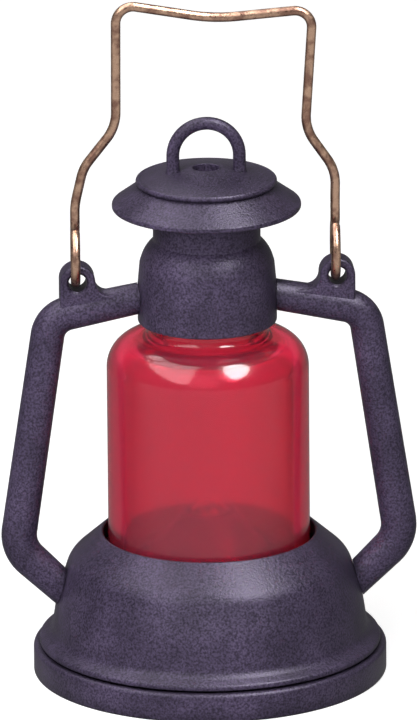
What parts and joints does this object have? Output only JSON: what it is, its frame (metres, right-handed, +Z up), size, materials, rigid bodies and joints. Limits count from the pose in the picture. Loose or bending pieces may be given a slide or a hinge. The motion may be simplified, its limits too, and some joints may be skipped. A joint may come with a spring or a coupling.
{
  "type": "miniature hand lantern",
  "caption": "Miniature hurricane-style lantern with a red clear globe, black moulded frame, capped chimney, carrying loop, swinging brass wire bail and a foot cover that turns as its switch",
  "frame": {"origin": "on the floor, under the middle of the foot", "axes": "+Z up along the globe, X from one side arm to the other, the front faces -Y"},
  "size_m": [0.0566, 0.048, 0.0944],
  "materials": {
    "body_black": "satin moulded black with a faint violet cast and fine speckle",
    "inner_black": "plain moulded black",
    "globe_red": "clear glossy red",
    "bail_brass": "drawn wire, worn bright with brown tarnish",
    "contact_brass": "bright sheet",
    "cell_steel": "nickel-plated can",
    "screw_steel": "zinc-plated",
    "lamp_glass": "clear",
    "lamp_insulator": "dark glass",
    "lamp_solder": "dull solder",
    "lamp_filament": "dark wire"
  },
  "bodies": {
    "frame": {"base_shell": "body_black", "left_side_arm": "body_black", "right_side_arm": "body_black", "chimney_bell": "body_black", "chimney_cap": "body_black", "burner_cone": "inner_black", "burner_deck": "inner_black", "battery_tube": "inner_black", "globe": "globe_red", "centre_contact": "contact_brass", "return_strip": "contact_brass", "lamp_socket": "contact_brass", "bulb_cap": "contact_brass", "lower_cell": "cell_steel", "upper_cell": "cell_steel", "deck_screws": "screw_steel", "bulb_glass": "lamp_glass", "bulb_insulator": "lamp_insulator", "bulb_tip": "lamp_solder", "bulb_filament": "lamp_filament"},
    "cover": {"base_cover": "body_black", "contact_leaf": "contact_brass", "leaf_rivet": "contact_brass"},
    "bail": {"bail": "bail_brass"}
  },
  "joints": [
    {"name": "bail_swing", "type": "hinge", "parent": "frame", "child": "bail", "pos_m": [0, 0, 0.05901], "axis": [1, 0, 0], "range_deg": [-125, 125]},
    {"name": "cover_turn", "type": "hinge", "parent": "frame", "child": "cover", "pos_m": [0, 0, 0], "axis": [0, 0, 1], "range_deg": [0, 35]}
  ]
}
